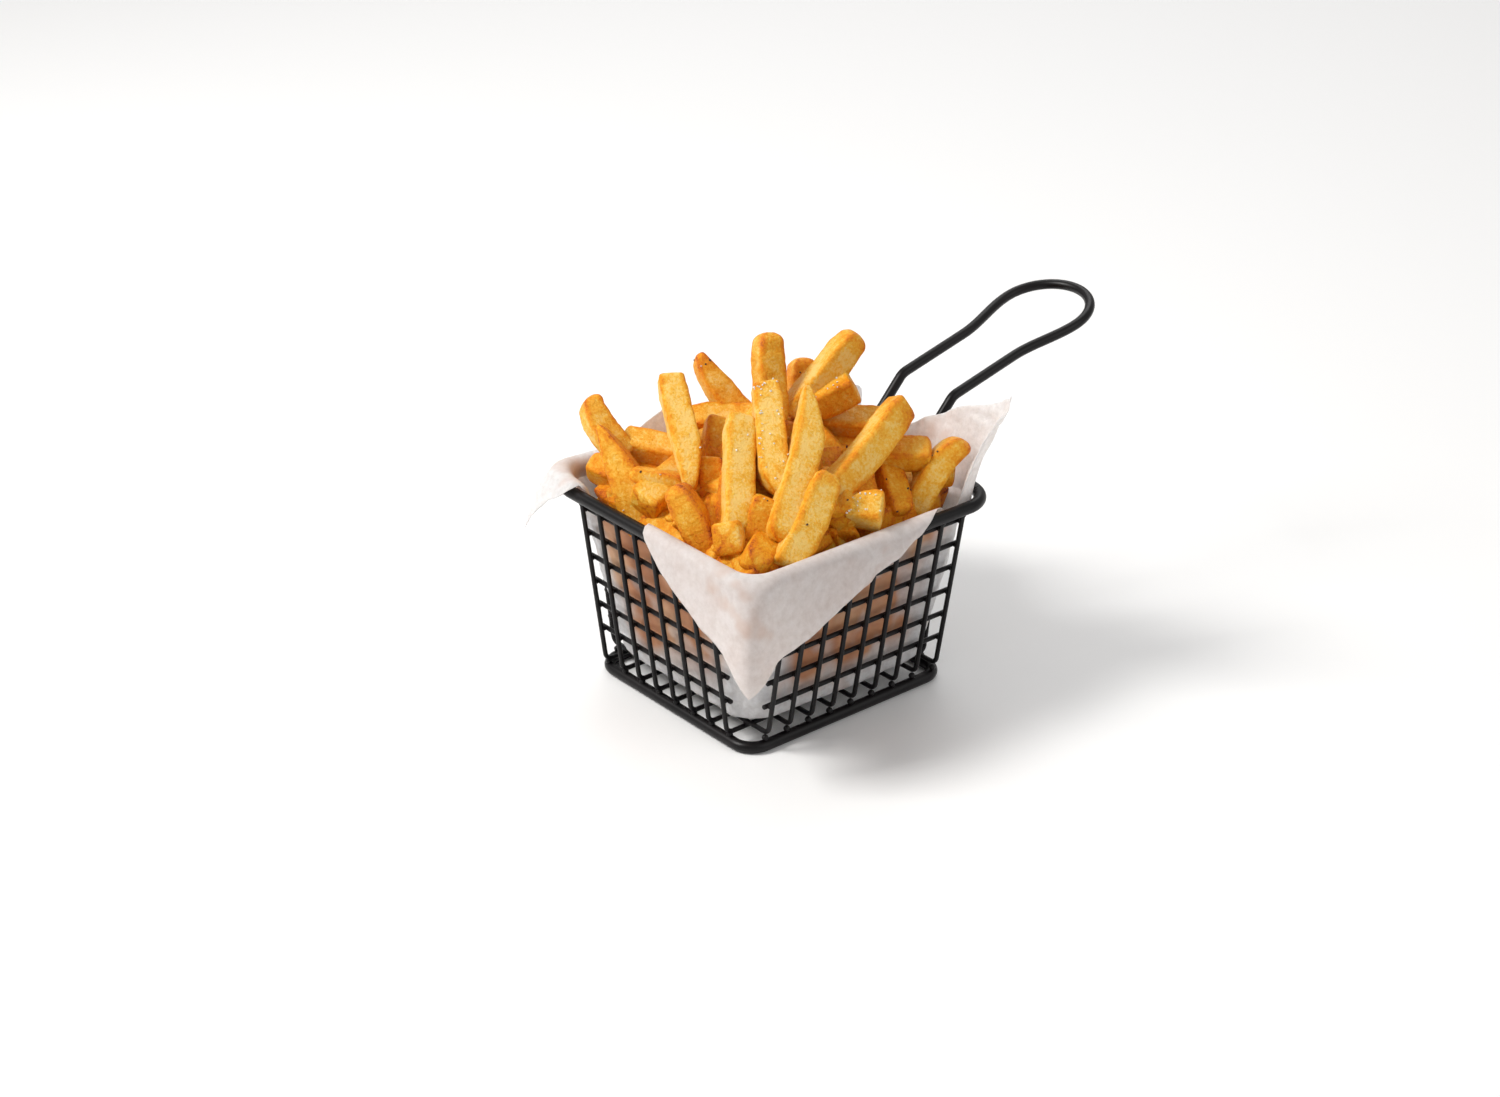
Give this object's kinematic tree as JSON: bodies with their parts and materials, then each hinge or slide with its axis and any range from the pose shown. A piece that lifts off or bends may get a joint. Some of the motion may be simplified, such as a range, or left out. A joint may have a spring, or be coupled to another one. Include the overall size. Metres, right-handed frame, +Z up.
{
  "type": "french fries portion in wire serving basket",
  "caption": "Portion of french fries heaped in a small black wire serving basket with a looped handle, lined with greaseproof paper that folds over the rim.",
  "frame": {"origin": "on the table, under the middle of the whole object's bounding box", "axes": "+Z up; +Y towards the handle, which is the back; +X to the right seen from the front"},
  "size_m": [0.128, 0.2068, 0.1266],
  "materials": {
    "black_wire": "satin",
    "greaseproof_paper": "matte",
    "fried_potato": "matte"
  },
  "bodies": {
    "root": {"cross_back_1": "black_wire", "cross_back_2": "black_wire", "cross_back_3": "black_wire", "cross_back_4": "black_wire", "cross_back_5": "black_wire", "cross_back_6": "black_wire", "cross_front_1": "black_wire", "cross_front_2": "black_wire", "cross_front_3": "black_wire", "cross_front_4": "black_wire", "cross_front_5": "black_wire", "cross_front_6": "black_wire", "cross_left_1": "black_wire", "cross_left_2": "black_wire", "cross_left_3": "black_wire", "cross_left_4": "black_wire", "cross_left_5": "black_wire", "cross_left_6": "black_wire", "cross_right_1": "black_wire", "cross_right_2": "black_wire", "cross_right_3": "black_wire", "cross_right_4": "black_wire", "cross_right_5": "black_wire", "cross_right_6": "black_wire", "foot_frame": "black_wire", "fries": "fried_potato", "handle": "black_wire", "paper_liner": "greaseproof_paper", "rim": "black_wire", "upright_front_back_1": "black_wire", "upright_front_back_2": "black_wire", "upright_front_back_3": "black_wire", "upright_front_back_4": "black_wire", "upright_front_back_5": "black_wire", "upright_front_back_6": "black_wire", "upright_front_back_7": "black_wire", "upright_front_back_8": "black_wire", "upright_side_1": "black_wire", "upright_side_2": "black_wire", "upright_side_3": "black_wire", "upright_side_4": "black_wire", "upright_side_5": "black_wire", "upright_side_6": "black_wire", "upright_side_7": "black_wire", "upright_side_8": "black_wire", "upright_side_9": "black_wire"}
  },
  "joints": []
}
